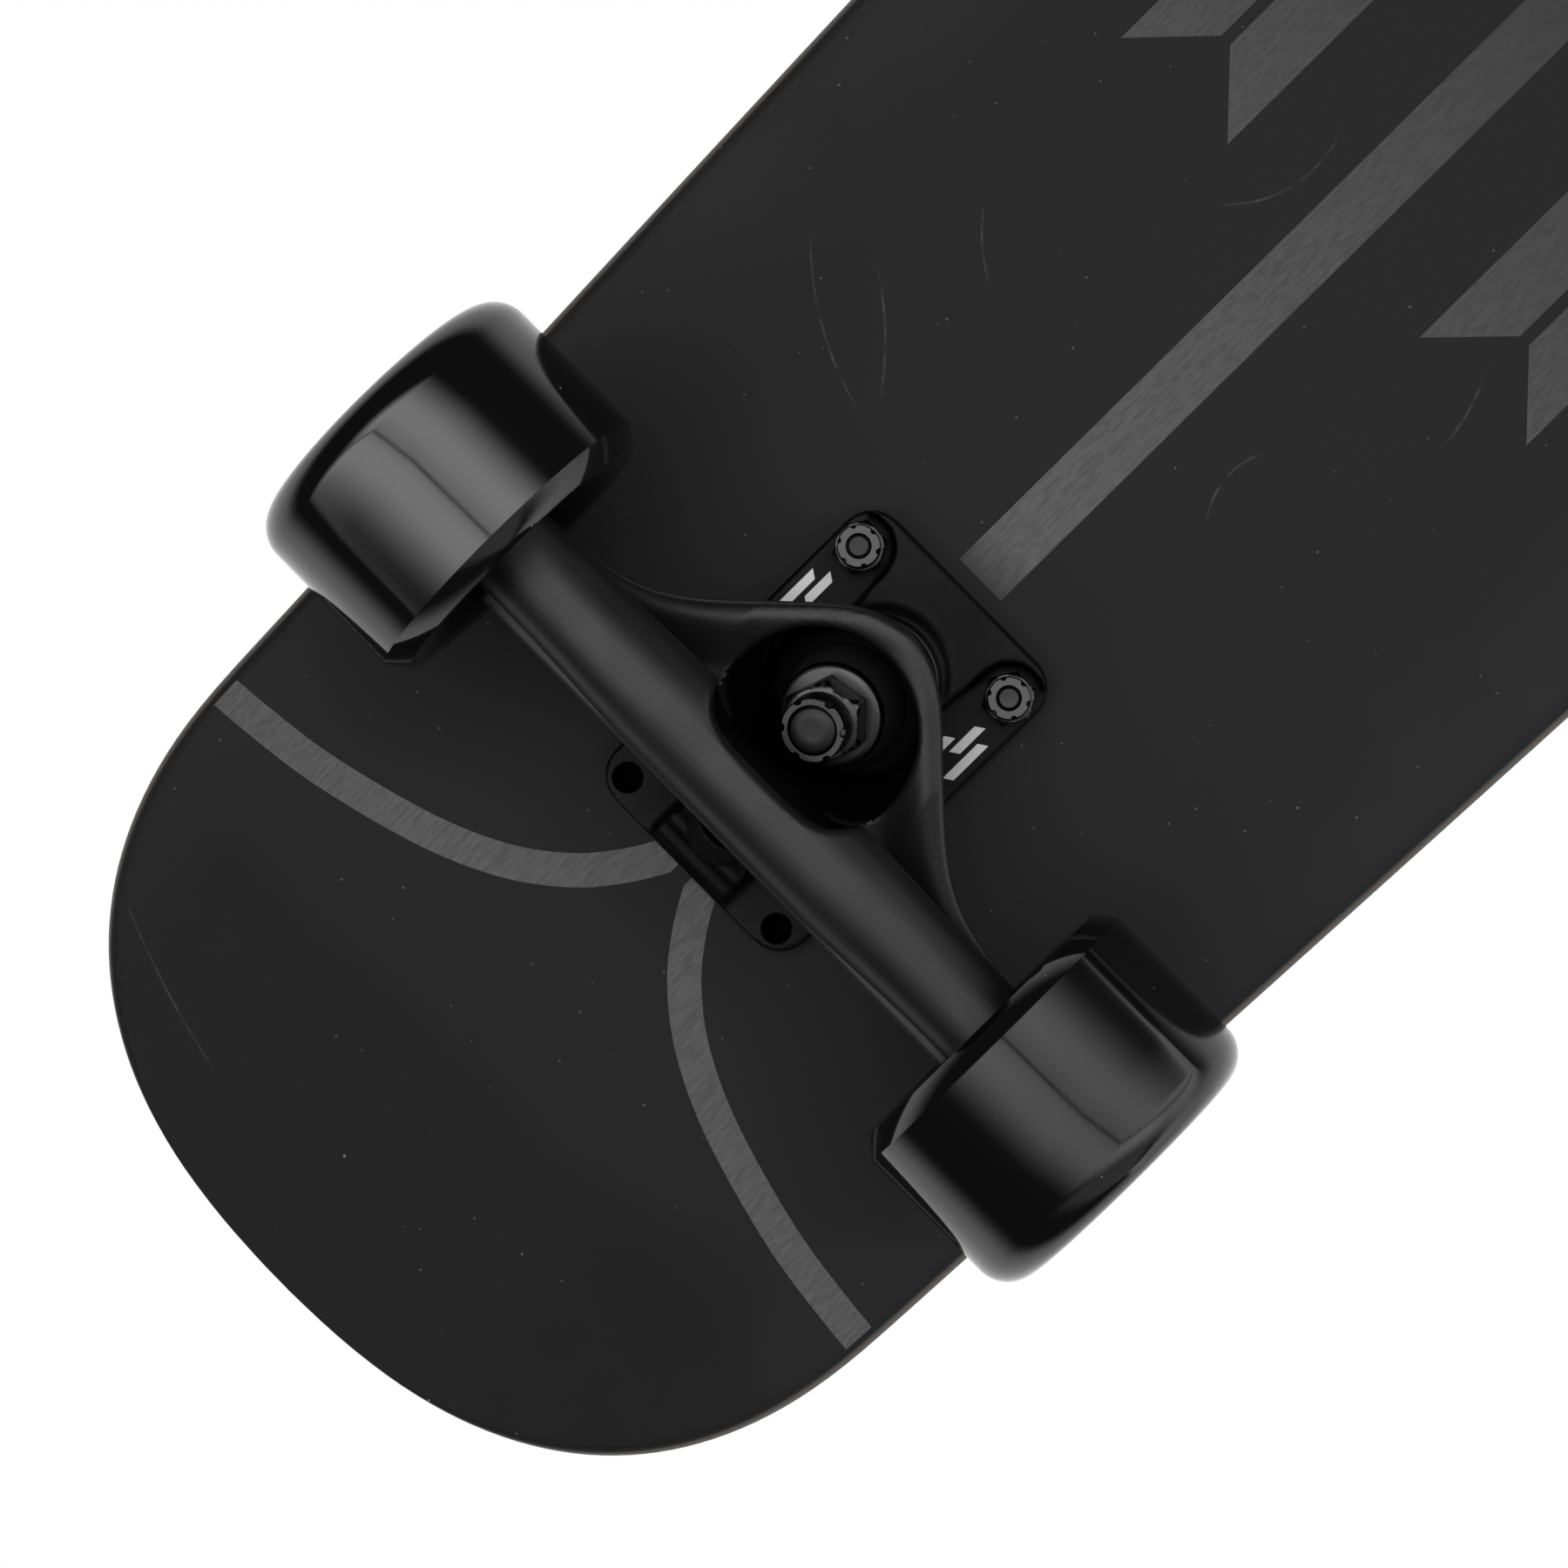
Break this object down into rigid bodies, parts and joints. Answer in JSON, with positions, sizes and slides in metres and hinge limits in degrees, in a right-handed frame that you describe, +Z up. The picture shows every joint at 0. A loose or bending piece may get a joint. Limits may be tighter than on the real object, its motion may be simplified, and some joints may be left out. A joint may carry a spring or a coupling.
{
  "type": "skateboard",
  "caption": "Popsicle-shaped skateboard: kicked, concave wooden deck with grip tape, kingpin trucks that lean and urethane wheels on ball bearings.",
  "frame": {"origin": "on the ground under the middle of the board", "axes": "+X to the front end along the board, +Y across it to the left, +Z up, wheels on the ground"},
  "size_m": [0.726, 0.205, 0.118],
  "materials": {
    "deck_wood": "matte black stain on maple plies",
    "grip": "coarse grit sheet",
    "truck_paint": "satin black",
    "dark_steel": "black zinc, worn at the edges",
    "bright_steel": "ground",
    "bushing_rubber": "matte",
    "cup_plastic": "matte",
    "wheel_urethane": "glossy cast urethane",
    "shield_black": "satin",
    "cage_nylon": "satin"
  },
  "bodies": {
    "board": {"deck": "deck_wood", "grip_tape": "grip", "rear_baseplate": "truck_paint", "rear_kingpin": "dark_steel", "rear_pivot_cup": "cup_plastic", "rear_boardside_bushing": "bushing_rubber", "rear_roadside_bushing": "bushing_rubber", "rear_boardside_washer": "dark_steel", "rear_roadside_washer": "dark_steel", "rear_kingpin_nut": "dark_steel", "rear_mounting_bolts": "dark_steel", "rear_mounting_nuts": "dark_steel", "front_baseplate": "truck_paint", "front_kingpin": "dark_steel", "front_pivot_cup": "cup_plastic", "front_boardside_bushing": "bushing_rubber", "front_roadside_bushing": "bushing_rubber", "front_boardside_washer": "dark_steel", "front_roadside_washer": "dark_steel", "front_kingpin_nut": "dark_steel", "front_mounting_bolts": "dark_steel", "front_mounting_nuts": "dark_steel"},
    "rear_hanger_body": {"rear_hanger": "truck_paint", "rear_axle": "bright_steel", "rear_speed_rings": "bright_steel", "rear_inner_races": "bright_steel", "rear_bearing_spacers": "bright_steel", "rear_left_axle_nut": "dark_steel", "rear_right_axle_nut": "dark_steel"},
    "rear_left_wheel_body": {"rear_left_wheel": "wheel_urethane", "rear_left_outer_races": "bright_steel", "rear_left_shields": "shield_black"},
    "rear_left_ball_body": {"rear_left_balls": "bright_steel", "rear_left_retainers": "cage_nylon"},
    "rear_right_wheel_body": {"rear_right_wheel": "wheel_urethane", "rear_right_outer_races": "bright_steel", "rear_right_shields": "shield_black"},
    "rear_right_ball_body": {"rear_right_balls": "bright_steel", "rear_right_retainers": "cage_nylon"},
    "front_hanger_body": {"front_hanger": "truck_paint", "front_axle": "bright_steel", "front_speed_rings": "bright_steel", "front_inner_races": "bright_steel", "front_bearing_spacers": "bright_steel", "front_left_axle_nut": "dark_steel", "front_right_axle_nut": "dark_steel"},
    "front_left_wheel_body": {"front_left_wheel": "wheel_urethane", "front_left_outer_races": "bright_steel", "front_left_shields": "shield_black"},
    "front_left_ball_body": {"front_left_balls": "bright_steel", "front_left_retainers": "cage_nylon"},
    "front_right_wheel_body": {"front_right_wheel": "wheel_urethane", "front_right_outer_races": "bright_steel", "front_right_shields": "shield_black"},
    "front_right_ball_body": {"front_right_balls": "bright_steel", "front_right_retainers": "cage_nylon"}
  },
  "joints": [
    {"name": "rear_steer", "type": "hinge", "parent": "board", "child": "rear_hanger_body", "pos_m": [-0.19939, 0, 0.05772], "axis": [0.9397, 0, -0.342], "range_deg": [-10, 10], "stiffness_Nm_per_rad": 40, "deforming": ["rear_boardside_bushing", "rear_roadside_bushing"]},
    {"name": "front_steer", "type": "hinge", "parent": "board", "child": "front_hanger_body", "pos_m": [0.19939, 0, 0.05772], "axis": [-0.9397, 0, -0.342], "range_deg": [-10, 10], "stiffness_Nm_per_rad": 40, "deforming": ["front_boardside_bushing", "front_roadside_bushing"]},
    {"name": "rear_left_wheel_spin", "type": "hinge", "parent": "rear_hanger_body", "child": "rear_left_wheel_body", "pos_m": [-0.2245, 0, 0.0322], "axis": [0, 1, 0], "continuous": true},
    {"name": "rear_left_cage_spin", "type": "hinge", "parent": "rear_hanger_body", "child": "rear_left_ball_body", "pos_m": [-0.2245, 0, 0.0322], "axis": [0, 1, 0], "continuous": true},
    {"name": "rear_right_wheel_spin", "type": "hinge", "parent": "rear_hanger_body", "child": "rear_right_wheel_body", "pos_m": [-0.2245, 0, 0.0322], "axis": [0, 1, 0], "continuous": true},
    {"name": "rear_right_cage_spin", "type": "hinge", "parent": "rear_hanger_body", "child": "rear_right_ball_body", "pos_m": [-0.2245, 0, 0.0322], "axis": [0, 1, 0], "continuous": true},
    {"name": "front_left_wheel_spin", "type": "hinge", "parent": "front_hanger_body", "child": "front_left_wheel_body", "pos_m": [0.2245, 0, 0.0322], "axis": [0, 1, 0], "continuous": true},
    {"name": "front_left_cage_spin", "type": "hinge", "parent": "front_hanger_body", "child": "front_left_ball_body", "pos_m": [0.2245, 0, 0.0322], "axis": [0, 1, 0], "continuous": true},
    {"name": "front_right_wheel_spin", "type": "hinge", "parent": "front_hanger_body", "child": "front_right_wheel_body", "pos_m": [0.2245, 0, 0.0322], "axis": [0, 1, 0], "continuous": true},
    {"name": "front_right_cage_spin", "type": "hinge", "parent": "front_hanger_body", "child": "front_right_ball_body", "pos_m": [0.2245, 0, 0.0322], "axis": [0, 1, 0], "continuous": true}
  ],
  "couplings": [
    {"joint": "rear_left_cage_spin", "follows": "rear_left_wheel_spin", "ratio": 0.6323},
    {"joint": "rear_right_cage_spin", "follows": "rear_right_wheel_spin", "ratio": 0.6323},
    {"joint": "front_left_cage_spin", "follows": "front_left_wheel_spin", "ratio": 0.6323},
    {"joint": "front_right_cage_spin", "follows": "front_right_wheel_spin", "ratio": 0.6323}
  ]
}
